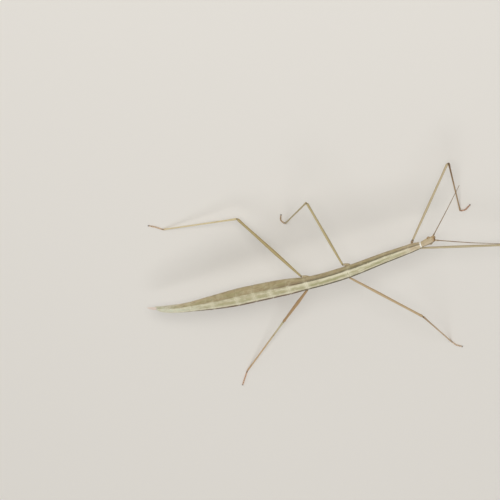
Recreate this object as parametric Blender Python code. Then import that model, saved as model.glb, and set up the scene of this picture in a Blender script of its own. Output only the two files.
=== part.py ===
# Giant stick insect: a slender wingless female at life size, standing on six feet.
# Every part of the body is a closed solid of its own, parted from the next by a thin cut.
# Metres, +Z up. +X runs from tail to head and +Y points to the insect's left.
# The origin is on the floor, under the middle of the whole model.
from math import cos, pi, radians, sin, sqrt, tau

import bmesh
import bpy
from mathutils import Matrix, Vector

MM = 0.001
CUT = 0.1  # mm, width of the thin cuts that part the body

# ---- body axis and girth, mm ----
# Height of the body axis above the floor: highest over the hind legs, drooping to the tail.
AXIS_HEIGHT = ((-58.0, 7.6), (-46.0, 13.5), (-29.0, 16.7), (-4.0, 19.7), (14.0, 22.0),
               (28.0, 21.7), (45.0, 19.2), (66.0, 17.9))
# Sideways offset of the axis: the body bows a little to the right and the head turns left.
AXIS_SIDE = ((-58.0, -0.45), (-30.0, -0.60), (-12.0, -0.44), (8.0, -0.38), (45.0, -0.36),
             (54.0, -0.12), (58.0, 0.0), (61.0, 0.38), (63.8, 0.72), (66.0, 0.98))
NECK = 58.0  # where the head meets the prothorax, along X
# Each part of the trunk from the neck back: name, length, half width at its rear rim
TRUNK = (
    ("prothorax", 5.6, 1.82),
    ("mesothorax", 24.7, 2.42),
    ("metathorax", 16.8, 2.58),
    ("median_segment", 7.3, 3.27),
    ("abdomen_2", 7.5, 3.55),
    ("abdomen_3", 7.0, 3.62),
    ("abdomen_4", 7.4, 3.62),
    ("abdomen_5", 10.2, 2.95),
    ("abdomen_6", 8.8, 2.15),
    ("abdomen_7", 7.0, 1.70),
    ("abdomen_8", 3.5, 1.48),
    ("abdomen_9", 2.8, 1.25),
    ("abdomen_10", 2.3, 0.90),
)
NECK_HALF_WIDTH = 1.32
THORAX = ("prothorax", "mesothorax", "metathorax")
HEIGHT_TO_WIDTH = 0.80  # the trunk is a little flatter than it is wide
THORAX_BACK = 0.76  # half width of the flat back between its two keels, as a share
ABDOMEN_BACK = 0.64
RIM_TUCK = 0.95  # the front rim of each ring tucks in towards the ring before it

# ---- head, mm ----
HEAD_LENGTH = 5.8
# Share of the length from the neck, half width, half height, drop of the centre
HEAD_SHAPE = ((0.0, 1.18, 1.10, 0.0), (0.14, 1.24, 1.14, 0.05), (0.33, 1.35, 1.20, 0.14),
              (0.57, 1.44, 1.25, 0.18), (0.79, 1.32, 1.16, 0.17), (0.93, 0.98, 0.92, 0.16),
              (1.0, 0.56, 0.58, 0.14))
EYE_RADIUS = 0.62
EYE_PLACE = (3.45, 1.38, -0.28)  # from the neck: forward, outward, up
SCAPE_PLACE = (4.70, 0.48, -0.42)  # root of an antenna, inside the head
SCAPE_RADIUS = 0.36
SCAPE_LENGTH = 1.7
ANTENNA_RADIUS = 0.26
ANTENNA_LENGTH = 26.0
ANTENNA_RISE = 0.02  # rise of its first half, as a slope
ANTENNA_SAG = 0.3
ANTENNA_BEND = 70.0  # radius of its slight curve
ANTENNA_YAW = {"left": 46.2, "right": -23.6}
MOUTH_PLACE = (4.75, 0.0, -1.02)
MOUTH_SIZE = (1.30, 0.80, 0.56)  # half length, half width, half height

# ---- tail, mm ----
OPERCULUM = ((-41.5, 0.55, 1.30), (-44.5, 0.95, 1.25), (-48.0, 0.85, 1.10), (-51.0, 0.62, 0.92),
             (-53.0, 0.42, 0.80), (-54.2, 0.22, 0.76))  # x, radius, drop below the axis
CERCUS_RADIUS = 0.26
CERCUS_LENGTH = 4.85

# ---- legs, mm ----
# root: inside the thorax; hip: end of the coxa; then knee and ankle, and the tarsus on the floor
LEGS = {
    "fore_left": dict(root=(54.2, 1.1, 17.3), hip=(55.4, 2.8, 17.9), knee=(80.8, 30.4, 13.6),
                      ankle=(72.0, -2.4), pad=(74.2, -2.4), toe=(76.7, -0.8)),
    "fore_right": dict(root=(54.2, -1.1, 17.3), hip=(55.6, -2.3, 16.7), knee=(91.0, -16.6, 12.0),
                       ankle=(123.6, -25.2), pad=(125.9, -26.2), toe=(128.0, -27.9)),
    "mid_left": dict(root=(29.2, 1.7, 20.6), hip=(26.7, 3.1, 21.4), knee=(24.8, 35.6, 21.6),
                     ankle=(5.9, 14.3), pad=(4.9, 16.5), toe=(6.1, 18.8)),
    "mid_right": dict(root=(29.2, -1.7, 20.6), hip=(26.7, -3.4, 21.3), knee=(46.5, -31.0, 20.7),
                      ankle=(45.6, -60.0), pad=(46.7, -62.2), toe=(48.7, -63.7)),
    "hind_left": dict(root=(12.4, 1.6, 21.0), hip=(9.6, 3.1, 21.5), knee=(-8.2, 27.4, 7.3),
                      ankle=(-39.6, 27.3), pad=(-42.0, 29.4), toe=(-44.3, 30.9)),
    "hind_right": dict(root=(12.4, -1.6, 21.0), hip=(9.6, -3.5, 21.4), knee=(-10.3, -25.6, 5.8),
                       ankle=(-34.6, -47.2), pad=(-36.8, -50.1), toe=(-38.9, -53.0)),
}
# The rings of the trunk that each pair of coxae is let into
CARRIERS = {"fore": ("prothorax",), "mid": ("mesothorax", "metathorax"),
            "hind": ("metathorax", "median_segment")}
# Radii along each part, as (share of its length, radius)
COXA = ((0.0, 0.70), (0.55, 0.72), (1.0, 0.52))
FEMUR = {
    "fore": ((0.0, 0.42), (0.10, 0.44), (0.40, 0.52), (0.85, 0.46), (0.96, 0.52), (1.0, 0.44)),
    "mid": ((0.0, 0.42), (0.10, 0.46), (0.40, 0.58), (0.80, 0.50), (0.96, 0.54), (1.0, 0.44)),
    "hind": ((0.0, 0.44), (0.10, 0.52), (0.40, 0.72), (0.80, 0.56), (0.96, 0.58), (1.0, 0.46)),
}
TIBIA = ((0.0, 0.42), (0.06, 0.44), (0.15, 0.36), (0.60, 0.31), (0.93, 0.30), (1.0, 0.34))
TARSUS_RADIUS = 0.30
TARSUS_AXIS = 0.21  # height of the tarsus axis, so that its sole is cut flat on the floor
TARSOMERES = (0.34, 0.52, 0.67, 0.79)  # joints of the tarsus, as shares of its length
KNEE_BEND = 0.62  # radius of the bend at a knee
HIP_BEND = 0.50
ANKLE_BEND = 0.70
PAD_BEND = 1.4

SIDES = 16  # corners of a trunk section
LEG_SIDES = 8

COLOURS = {
    "head": (0.44, 0.42, 0.25),
    "eye": (0.10, 0.06, 0.03),
    "antenna": (0.20, 0.15, 0.09),
    "mouthparts": (0.38, 0.31, 0.16),
    "thorax": (0.46, 0.46, 0.27),
    "abdomen": (0.50, 0.47, 0.29),
    "tail": (0.66, 0.62, 0.46),
    "coxa": (0.27, 0.20, 0.10),
    "femur": (0.30, 0.25, 0.11),
    "tibia": (0.22, 0.17, 0.08),
    "tarsus": (0.30, 0.14, 0.07),
}


def clear_scene():
    for obj in list(bpy.data.objects):
        bpy.data.objects.remove(obj, do_unlink=True)
    for collection in list(bpy.data.collections):
        bpy.data.collections.remove(collection)


def new_collection(name):
    collection = bpy.data.collections.new(name)
    bpy.context.scene.collection.children.link(collection)
    return collection


def material(kind):
    name = "finish_" + kind
    if name in bpy.data.materials:
        return bpy.data.materials[name]
    finish = bpy.data.materials.new(name)
    finish.use_nodes = True
    shader = finish.node_tree.nodes["Principled BSDF"]
    shader.inputs["Base Color"].default_value = (*COLOURS[kind], 1.0)
    shader.inputs["Roughness"].default_value = 0.2 if kind == "eye" else 0.55
    shader.inputs["Metallic"].default_value = 0.0
    finish.diffuse_color = (*COLOURS[kind], 1.0)
    return finish


def flowing(stations, place):
    # value at a place on the smooth curve through (place, value) stations in rising order
    last = len(stations) - 1
    i = 0
    while i < last - 1 and place > stations[i + 1][0]:
        i += 1

    def slope(k):
        a = stations[max(k - 1, 0)]
        b = stations[min(k + 1, last)]
        return (b[1] - a[1]) / (b[0] - a[0])

    start, end = stations[i], stations[i + 1]
    span = end[0] - start[0]
    u = (place - start[0]) / span
    v = 1.0 - u
    return (start[1] * (1 + 2 * u) * v * v + end[1] * (3 - 2 * u) * u * u
            + span * u * v * (slope(i) * v - slope(i + 1) * u))


def trunk_joints():
    # place along X and half width of every rim, from the tail forward
    joints = [(NECK, NECK_HALF_WIDTH)]
    for _, length, half_width in TRUNK:
        joints.append((joints[-1][0] - length, half_width))
    return tuple(reversed(joints))


GIRTH = trunk_joints()


def axis_frame(x):
    # centre of the body axis at x, with its forward, left and up directions
    height = flowing(AXIS_HEIGHT, x)
    step = 0.5
    rise = (flowing(AXIS_HEIGHT, x + step) - flowing(AXIS_HEIGHT, x - step)) / (2 * step)
    forward = Vector((1.0, 0.0, rise)).normalized()
    left = Vector((0.0, 1.0, 0.0))
    return Vector((x, flowing(AXIS_SIDE, x), height)), forward, left, forward.cross(left)


def build_loft(name, rings):
    # closed solid through rings of points that all have the same number of corners
    mesh = bpy.data.meshes.new(name)
    bm = bmesh.new()
    loops = [[bm.verts.new(point * MM) for point in ring] for ring in rings]
    for near, far in zip(loops, loops[1:]):
        for i in range(len(near)):
            j = (i + 1) % len(near)
            bm.faces.new((near[i], near[j], far[j], far[i]))
    bm.faces.new(loops[0])
    bm.faces.new(loops[-1])
    bmesh.ops.recalc_face_normals(bm, faces=bm.faces[:])
    bm.to_mesh(mesh)
    bm.free()
    mesh.shade_smooth()
    mesh.set_sharp_from_angle(angle=radians(40))
    return mesh


def add_part(name, mesh, kind):
    part = bpy.data.objects.new(name, mesh)
    part.data.materials.append(material(kind))
    insect.objects.link(part)
    return part


def add_cutter(name, mesh):
    cutter = bpy.data.objects.new(name, mesh)
    cutter.hide_render = True
    cutter.display_type = 'WIRE'
    cutters.objects.link(cutter)
    return cutter


def cut_away(part, cutter):
    modifier = part.modifiers.new("cut_" + cutter.name, 'BOOLEAN')
    modifier.operation = 'DIFFERENCE'
    modifier.object = cutter
    modifier.solver = 'EXACT'


def trunk_outline(half_width, back, grow=0.0):
    # cross section: a flat back between two keels, full flanks and a rounded belly
    tall = HEIGHT_TO_WIDTH * half_width
    half = ((0.0, 1.0), (0.5 * back, 0.985), (back, 0.87), (0.5 * (back + 1.04), 0.46),
            (1.0, -0.05), (0.90, -0.50), (0.63, -0.86), (0.30, -0.99), (0.0, -1.0))
    outline = list(half) + [(-y, z) for y, z in reversed(half[1:-1])]
    return [(y * (half_width + grow), z * (tall + grow)) for y, z in outline]


def trunk_ring(x, half_width, back, grow=0.0):
    centre, _, left, up = axis_frame(x)
    return [centre + left * y + up * z for y, z in trunk_outline(half_width, back, grow)]


def back_share(x):
    # the keels stand wider apart on the thorax than on the abdomen
    stations = ((GIRTH[0][0], ABDOMEN_BACK), (0.0, ABDOMEN_BACK), (14.0, THORAX_BACK),
                (NECK, THORAX_BACK))
    return flowing(stations, x)


def trunk_solid(name, front, rear, grow=0.0):
    # one ring of the body; its front rim tucks in and its rear rim stands full
    length = front - rear
    count = 4 if length < 12 else 6
    tuck = min(0.5, 0.12 * length)
    places = [front, front - tuck]
    for i in range(1, count):
        places.append(front - tuck + (tuck - length) * i / count)
    places.append(rear)
    rings = []
    for i, x in enumerate(places):
        share = RIM_TUCK if i == 0 else 1.0
        rings.append(trunk_ring(x, flowing(GIRTH, x) * share, back_share(x), grow))
    return build_loft(name, rings)


def build_trunk():
    parts = {}
    front = NECK
    for name, length, _ in TRUNK:
        rear = front - length
        mesh = trunk_solid(name, front - CUT / 2, rear + CUT / 2)
        kind = "thorax" if name in THORAX else "abdomen"
        if name in ("abdomen_8", "abdomen_9", "abdomen_10"):
            kind = "tail"
        parts[name] = add_part(name, mesh, kind)
        front = rear
    return parts


def head_ring(share, half_width, half_height, drop, grow=0.0):
    centre, _, left, up = axis_frame(NECK + CUT / 2 + share * (HEAD_LENGTH - CUT / 2))
    centre -= up * drop
    ring = []
    for i in range(SIDES):
        angle = tau * i / SIDES
        ring.append(centre + left * cos(angle) * (half_width + grow)
                    + up * sin(angle) * (half_height + grow))
    return ring


def head_point(place, side):
    forward, outward, up_by = place
    centre, _, left, up = axis_frame(NECK + forward)
    return centre + left * outward * side + up * up_by


def ellipsoid(name, centre, half_size, direction, segments=12):
    bm = bmesh.new()
    bmesh.ops.create_uvsphere(bm, u_segments=segments, v_segments=segments // 2 + 1, radius=1.0)
    bmesh.ops.scale(bm, vec=Vector(half_size) * MM, verts=bm.verts)
    turn = direction.to_track_quat('X', 'Z').to_matrix().to_4x4()
    bmesh.ops.transform(bm, matrix=Matrix.Translation(centre * MM) @ turn, verts=bm.verts)
    mesh = bpy.data.meshes.new(name)
    bm.to_mesh(mesh)
    bm.free()
    mesh.shade_smooth()
    return mesh


def build_head():
    head = add_part("head", build_loft("head", [head_ring(*row) for row in HEAD_SHAPE]), "head")
    forward = axis_frame(NECK + HEAD_LENGTH / 2)[1]
    eye_size = (EYE_RADIUS * 1.15, EYE_RADIUS * 0.85, EYE_RADIUS)
    for side_name, side in (("left", 1), ("right", -1)):
        centre = head_point(EYE_PLACE, side)
        name = "eye_" + side_name
        add_part(name, ellipsoid(name, centre, eye_size, forward), "eye")
        socket_size = [size + CUT for size in eye_size]
        cut_away(head, add_cutter("socket_" + name,
                                  ellipsoid("socket_" + name, centre, socket_size, forward)))
        build_antenna(head, side_name, side)
    mouth = head_point(MOUTH_PLACE, 0)
    droop = (forward - Vector((0.0, 0.0, 0.35))).normalized()
    mouthparts = add_part("mouthparts", ellipsoid("mouthparts", mouth, MOUTH_SIZE, droop),
                          "mouthparts")
    grown = build_loft("head_space", [head_ring(*row, grow=CUT) for row in HEAD_SHAPE])
    cut_away(mouthparts, add_cutter("head_space", grown))
    return head


class Path:
    # a route of straight runs joined by round bends, measured by the distance along it
    def __init__(self, corners, radii):
        self.pieces = []
        self.length = 0.0
        self.marks = [0.0]  # distance of each corner
        here = corners[0]
        for i in range(1, len(corners) - 1):
            inward = (corners[i] - corners[i - 1]).normalized()
            outward = (corners[i + 1] - corners[i]).normalized()
            turn = inward.angle(outward)
            reach = radii[i - 1] * sin(turn / 2) / cos(turn / 2)
            self._run(here, corners[i] - inward * reach)
            self._bend(corners[i] - inward * reach, inward, outward, radii[i - 1], turn)
            here = corners[i] + outward * reach
        self._run(here, corners[-1])
        self.marks.append(self.length)

    def _run(self, start, end):
        size = (end - start).length
        self.pieces.append(("run", self.length, size, start, (end - start).normalized()))
        self.length += size

    def _bend(self, start, inward, outward, radius, turn):
        axis = inward.cross(outward).normalized()
        centre = start + axis.cross(inward) * radius
        size = radius * turn
        self.pieces.append(("bend", self.length, size, start - centre, (centre, axis, inward)))
        self.marks.append(self.length + size / 2)
        self.length += size

    def at(self, distance):
        # point and direction at a distance along the route
        for kind, begin, size, a, b in self.pieces:
            if distance <= begin + size + 1e-9:
                break
        along = distance - begin
        if kind == "run":
            return a + b * along, b
        centre, axis, inward = b
        turn = Matrix.Rotation(along / a.length, 3, axis)
        return centre + turn @ a, turn @ inward

    def places(self, start, end, run_steps):
        # distances at which to set rings between two distances, closer in the bends
        found = [start]
        for kind, begin, size, _, _ in self.pieces:
            low = max(begin, start)
            high = min(begin + size, end)
            if high - low < 0.02:
                continue
            steps = run_steps if kind == "run" else 3
            steps = max(1, min(steps, round((high - low) / 0.15)))
            found += [low + (high - low) * k / steps for k in range(1, steps + 1)]
        return found


def sweep(name, path, start, end, radius_at, run_steps=3, floor=None, grow=0.0, extra=()):
    # round solid along part of a path; radius_at gives the radius at a share of its length
    places = sorted(set(path.places(start, end, run_steps)) | set(extra))
    middle = path.at((start + end) / 2)[1]
    up = Vector((0.0, 0.0, 1.0))
    up = (up - middle * up.dot(middle)).normalized()
    rings = []
    normal = None
    for place in places:
        point, direction = path.at(place)
        if normal is None:
            normal = up
        normal = (normal - direction * normal.dot(direction)).normalized()
        across = direction.cross(normal)
        radius = radius_at((place - start) / (end - start)) + grow
        ring = []
        for i in range(LEG_SIDES):
            angle = tau * (i + 0.5) / LEG_SIDES
            corner = point + (across * cos(angle) + normal * sin(angle)) * radius
            if floor is not None:
                corner.z = max(corner.z, floor)
            ring.append(corner)
        rings.append(ring)
    return build_loft(name, rings)


def tapering(stations):
    def radius_at(share):
        share = min(max(share, 0.0), 1.0)
        for (a, ra), (b, rb) in zip(stations, stations[1:]):
            if share <= b:
                return ra + (rb - ra) * (share - a) / (b - a)
        return stations[-1][1]
    return radius_at


def build_antenna(head, side_name, side):
    root = head_point(SCAPE_PLACE, side)
    yaw = radians(ANTENNA_YAW[side_name])
    heading = Vector((cos(yaw), sin(yaw), ANTENNA_RISE)).normalized()
    joint = root + heading * SCAPE_LENGTH
    middle = joint + heading * ANTENNA_LENGTH / 2
    level = Vector((cos(yaw), sin(yaw), 0.0))
    tip = joint + level * ANTENNA_LENGTH - Vector((0.0, 0.0, ANTENNA_SAG))
    path = Path([root, middle, tip], [ANTENNA_BEND])
    name = "scape_" + side_name
    round_scape = tapering(((0.0, SCAPE_RADIUS * 0.8), (0.5, SCAPE_RADIUS), (1.0, SCAPE_RADIUS * 0.8)))
    scape = sweep(name, path, 0.0, SCAPE_LENGTH - CUT / 2, round_scape)
    add_part(name, scape, "antenna")
    socket = sweep("socket_" + name, path, -CUT, SCAPE_LENGTH, lambda share: SCAPE_RADIUS + CUT)
    cut_away(head, add_cutter("socket_" + name, socket))
    name = "antenna_" + side_name
    flagellum = sweep(name, path, SCAPE_LENGTH + CUT / 2, path.length,
                      lambda share: ANTENNA_RADIUS, run_steps=6)
    add_part(name, flagellum, "antenna")


def build_leg(name, leg, carriers):
    pair = name.split("_")[0]
    corners = [Vector(leg["root"]), Vector(leg["hip"]), Vector(leg["knee"])]
    corners += [Vector((*leg[spot], TARSUS_AXIS)) for spot in ("ankle", "pad", "toe")]
    path = Path(corners, (HIP_BEND, KNEE_BEND, ANKLE_BEND, PAD_BEND))
    _, hip, knee, ankle, _, toe = path.marks
    half = CUT / 2

    coxa = sweep("coxa_" + name, path, 0.0, hip - half, tapering(COXA))
    add_part("coxa_" + name, coxa, "coxa")
    socket = sweep("socket_" + name, path, -CUT, hip + CUT, tapering(COXA), grow=CUT)
    socket = add_cutter("socket_" + name, socket)
    for carrier in carriers:
        cut_away(carrier, socket)

    femur = sweep("femur_" + name, path, hip + half, knee - half, tapering(FEMUR[pair]), run_steps=9)
    add_part("femur_" + name, femur, "femur")
    tibia = sweep("tibia_" + name, path, knee + half, ankle - half, tapering(TIBIA),
                  run_steps=9, floor=half)
    add_part("tibia_" + name, tibia, "tibia")

    begin, span = ankle + half, toe - ankle - half
    waists = [begin + span * share for share in TARSOMERES]
    swells = [place - 0.22 for place in waists]

    def tarsus_radius(share):
        place = begin + share * span
        near = min(abs(place - waist) for waist in waists)
        tip = 0.8 if share > 0.99 else 1.0
        return TARSUS_RADIUS * tip * (0.84 if near < 0.05 else 1.0)

    tarsus = sweep("tarsus_" + name, path, begin, toe, tarsus_radius, floor=0.0,
                   extra=waists + swells)
    add_part("tarsus_" + name, tarsus, "tarsus")


def build_tail():
    rings = []
    for x, radius, drop in OPERCULUM:
        centre, _, left, up = axis_frame(x)
        centre -= up * drop
        rings.append([centre + (left * cos(tau * i / 12) + up * sin(tau * i / 12)) * radius
                      for i in range(12)])
    operculum = add_part("operculum", build_loft("operculum", rings), "tail")
    tail_end = GIRTH[0][0]
    space = trunk_solid("abdomen_space", tail_end + 14.0, tail_end - CUT, grow=CUT)
    cut_away(operculum, add_cutter("abdomen_space", space))
    for side_name, side in (("left", 1), ("right", -1)):
        centre, forward, left, up = axis_frame(tail_end - CUT)
        root = centre + left * side * 0.42 + up * 0.02
        tip = root - forward * CERCUS_LENGTH - left * side * 0.20
        path = Path([root, (root + tip) / 2 + up * 0.06, tip], [6.0])
        name = "cercus_" + side_name
        cercus = sweep(name, path, 0.0, path.length,
                       tapering(((0.0, 0.22), (0.3, CERCUS_RADIUS), (0.7, 0.20), (1.0, 0.08))))
        add_part(name, cercus, "tail")


def set_origin():
    # move everything so that the origin lies on the floor under the middle of the model
    bpy.context.view_layer.update()
    graph = bpy.context.evaluated_depsgraph_get()
    corners = []
    for part in insect.objects:
        mesh = part.evaluated_get(graph).to_mesh()
        corners += [vert.co.copy() for vert in mesh.vertices]
    low = [min(corner[i] for corner in corners) for i in range(3)]
    high = [max(corner[i] for corner in corners) for i in range(3)]
    shift = Matrix.Translation((-(low[0] + high[0]) / 2, -(low[1] + high[1]) / 2, -low[2]))
    for obj in list(insect.objects) + list(cutters.objects):
        obj.data.transform(shift)


clear_scene()
insect = new_collection("giant_stick_insect")
cutters = new_collection("cutters")
build_head()
trunk = build_trunk()
for leg_name, leg_sizes in LEGS.items():
    build_leg(leg_name, leg_sizes, [trunk[name] for name in CARRIERS[leg_name.split("_")[0]]])
build_tail()
set_origin()
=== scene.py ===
from math import atan2, cos, exp, pi, radians, sin, sqrt, tau

import bmesh
import bpy
from mathutils import Matrix, Vector


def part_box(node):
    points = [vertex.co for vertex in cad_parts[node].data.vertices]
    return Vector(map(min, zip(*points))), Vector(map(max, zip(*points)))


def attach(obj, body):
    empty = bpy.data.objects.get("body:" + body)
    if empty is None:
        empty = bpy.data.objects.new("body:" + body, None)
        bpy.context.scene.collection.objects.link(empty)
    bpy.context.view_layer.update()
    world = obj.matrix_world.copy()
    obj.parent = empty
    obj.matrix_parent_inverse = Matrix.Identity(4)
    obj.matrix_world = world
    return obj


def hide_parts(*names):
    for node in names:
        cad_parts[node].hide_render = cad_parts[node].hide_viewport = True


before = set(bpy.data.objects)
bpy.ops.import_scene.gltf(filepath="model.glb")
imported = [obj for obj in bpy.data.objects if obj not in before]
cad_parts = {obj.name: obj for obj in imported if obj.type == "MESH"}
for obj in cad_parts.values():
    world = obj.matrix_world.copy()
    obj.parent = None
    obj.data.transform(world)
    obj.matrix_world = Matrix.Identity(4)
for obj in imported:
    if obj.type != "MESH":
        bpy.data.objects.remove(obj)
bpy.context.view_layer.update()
mm = 0.001

# the insect's plan in mm: x from tail to head, y to its left, z up from the floor

body = {
    "axisHeight": ((-58.0, 7.6), (-46.0, 13.5), (-29.0, 16.7), (-4.0, 19.7), (14.0, 22.0),
                   (28.0, 21.7), (45.0, 19.2), (66.0, 17.9)),
    # the body bows a little to the right and the head turns a little to the left
    "axisSide": ((-58.0, -0.45), (-30.0, -0.60), (-12.0, -0.44), (8.0, -0.38), (45.0, -0.36),
                 (54.0, -0.12), (58.0, 0.0), (61.0, 0.38), (63.8, 0.72), (66.0, 0.98)),
    "neck": 58.0,
    "neckHalfWidth": 1.32,
    "rings": (("prothorax", 5.6, 1.82), ("mesothorax", 24.7, 2.42), ("metathorax", 16.8, 2.58),
              ("median_segment", 7.3, 3.27), ("abdomen_2", 7.5, 3.55), ("abdomen_3", 7.0, 3.62),
              ("abdomen_4", 7.4, 3.62), ("abdomen_5", 10.2, 2.95), ("abdomen_6", 8.8, 2.15),
              ("abdomen_7", 7.0, 1.70), ("abdomen_8", 3.5, 1.48), ("abdomen_9", 2.8, 1.25),
              ("abdomen_10", 2.3, 0.90)),
    "heightToWidth": 0.80,
    "thoraxBack": 0.76,     # half width of the flat back, as a share of the half width
    "abdomenBack": 0.64,
    "inset": 0.03,          # the skin lies this far inside the solids
    "sides": 32,
    "rowGap": 1.1,          # spacing of the rows along a ring of the body
    "endRound": 1.1,        # length over which the abdomen's end is rounded
    "paleReach": 0.80,      # how far the pale mark of a joint reaches along the back
    "jointDip": 0.075,      # how far a front rim tucks under the ring before it
    "coxaRim": (0.85, 0.16),   # radius and height of the rim round a coxa
    "crossGroove": dict(place=2.3, width=0.28, depth=0.07),   # on the prothorax, behind the neck
    "furrow": dict(place=0.66, width=0.04, depth=0.05),       # along the flank, as a share round it
}

head = {
    "length": 5.8,
    "shape": ((0.0, 1.18, 1.10, 0.0), (0.14, 1.24, 1.14, 0.05), (0.33, 1.35, 1.20, 0.14),
              (0.57, 1.44, 1.25, 0.18), (0.79, 1.32, 1.16, 0.17), (0.93, 0.98, 0.92, 0.16),
              (1.0, 0.56, 0.58, 0.14)),   # share of length, half width, half height, drop
    "rows": 34,
    "eyePlace": (3.45, 1.38, -0.28),
    "eyeRadius": 0.62,
    "scapePlace": (4.70, 0.48, -0.42),
    "mouthPlace": (4.45, 0.0, -1.00),
    "eyeRim": (0.68, 0.12),      # radius and height
    "socketRim": (0.50, 0.13),
    "cheek": 0.07,               # height of its ridge
    "groove": 0.08,              # depth of the grooves of crown and nape
}

def flowing(stations, place, column=1):
    # value at a place on the smooth curve through stations in rising order
    last = len(stations) - 1
    i = 0
    while i < last - 1 and place > stations[i + 1][0]:
        i += 1

    def slope(k):
        a = stations[max(k - 1, 0)]
        b = stations[min(k + 1, last)]
        return (b[column] - a[column]) / (b[0] - a[0])

    start, end = stations[i], stations[i + 1]
    span = end[0] - start[0]
    u = (place - start[0]) / span
    v = 1.0 - u
    return (start[column] * (1 + 2 * u) * v * v + end[column] * (3 - 2 * u) * u * u
            + span * u * v * (slope(i) * v - slope(i + 1) * u))


def straight(stations, share):
    # value between stations joined by straight lines
    for (a, low), (b, high) in zip(stations, stations[1:]):
        if share <= b:
            return low + (high - low) * (share - a) / (b - a)
    return stations[-1][1]


def hump(value, centre, spread):
    # 1 at the centre, fading smoothly to either side
    return exp(-((value - centre) / spread) ** 2)


def axisFrame(x):
    # centre of the body axis at x, with its forward, left and up directions
    rise = flowing(body["axisHeight"], x + 0.5) - flowing(body["axisHeight"], x - 0.5)
    forward = Vector((1.0, 0.0, rise)).normalized()
    left = Vector((0.0, 1.0, 0.0))
    centre = Vector((x, flowing(body["axisSide"], x), flowing(body["axisHeight"], x)))
    return centre, forward, left, forward.cross(left)


def headPoint(place, side):
    centre, _, left, up = axisFrame(body["neck"] + place[0])
    return centre + left * place[1] * side + up * place[2]


def findOrigin():
    # the frame's position of this plan's own origin, from the middle of the two eyes
    low = Vector(map(min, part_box("eye_left")[0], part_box("eye_right")[0]))
    high = Vector(map(max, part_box("eye_left")[1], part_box("eye_right")[1]))
    eyes = (low + high) / 2
    planned = headPoint((head["eyePlace"][0], 0.0, head["eyePlace"][2]), 1) * mm
    return Vector((eyes.x - planned.x, eyes.y - planned.y, 0.0))


origin = findOrigin()


def girth():
    joints = [(body["neck"], body["neckHalfWidth"])]
    for _, length, halfWidth in body["rings"]:
        joints.append((joints[-1][0] - length, halfWidth))
    return tuple(reversed(joints))


trunkGirth = girth()
tailEnd = trunkGirth[0][0]


class Tube:
    # a skin grown ring by ring: each new ring is extruded from the last and set in place
    def __init__(self, marks):
        self.bm = bmesh.new()
        self.layers = {name: self.bm.verts.layers.float.new(name) for name in marks}
        self.crease = self.bm.edges.layers.float.new("crease_edge")

    def begin(self, sides, finish=0):
        # a new tube of so many sides, in the finish of that number
        self.sides = sides
        self.finish = finish
        self.ring = None

    def rim(self):
        # the edges of the newest ring
        return [self.bm.edges.get((self.ring[i - 1], v)) for i, v in enumerate(self.ring)]

    def add(self, points, marks, creased=()):
        # points are in mm; marks gives a layer one value, or one for each corner, and the rest are 0
        if self.ring is None:
            self.ring = bmesh.ops.create_circle(self.bm, segments=self.sides, radius=1.0)["verts"]
            self.ring.sort(key=lambda v: atan2(v.co.y, v.co.x))
            self.cap()
        else:
            order = {v: i for i, v in enumerate(self.ring)}
            grown = bmesh.ops.extrude_edge_only(self.bm, edges=self.rim())["geom"]
            fresh = [None] * self.sides
            for vert in grown:
                if not isinstance(vert, bmesh.types.BMVert):
                    continue
                for edge in vert.link_edges:
                    other = edge.other_vert(vert)
                    if other in order:
                        fresh[order[other]] = vert
                        if order[other] in creased:
                            edge[self.crease] = 0.75
            for face in grown:
                if isinstance(face, bmesh.types.BMFace):
                    face.material_index = self.finish
            self.ring = fresh
        for i, (vert, point) in enumerate(zip(self.ring, points)):
            vert.co = origin + point * mm
            for name, layer in self.layers.items():
                value = marks.get(name, 0.0)
                vert[layer] = value if isinstance(value, (int, float)) else value[i]

    def cap(self):
        for face in bmesh.ops.contextual_create(self.bm, geom=self.rim())["faces"]:
            face.material_index = self.finish


def addObject(name, data):
    made = bpy.data.objects.new(name, data)
    bpy.context.scene.collection.objects.link(made)
    return made


def addMesh(name, bm, finishes):
    mesh = bpy.data.meshes.new(name)
    bm.to_mesh(mesh)
    bm.free()
    for finish in finishes:
        mesh.materials.append(finish)
    return addObject(name, mesh)


def finishPiece(name, bm, finishes, nodes):
    bmesh.ops.remove_doubles(bm, verts=bm.verts[:], dist=0.0002 * mm)
    bmesh.ops.recalc_face_normals(bm, faces=bm.faces[:])
    piece = addMesh(name, bm, finishes)
    piece.data.shade_smooth()
    soften = piece.modifiers.new("soften", 'SUBSURF')
    soften.levels = 1
    soften.render_levels = 1
    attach(piece, "root")
    if nodes:
        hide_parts(*nodes)


class Value:
    # one output in a finish's nodes, so that shader maths reads as arithmetic
    def __init__(self, finish, output):
        self.finish = finish
        self.output = output

    def math(self, operation, first, second=0.0):
        return self.finish.node("Math", {"operation": operation}, first, second)

    def __add__(self, other):
        return self.math('ADD', self, other)

    __radd__ = __add__

    def __mul__(self, other):
        return self.math('MULTIPLY', self, other)

    __rmul__ = __mul__

    def __sub__(self, other):
        return self.math('SUBTRACT', self, other)

    def __rsub__(self, other):
        return self.math('SUBTRACT', other, self)

    def __abs__(self):
        return self.math('ABSOLUTE', self)


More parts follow.
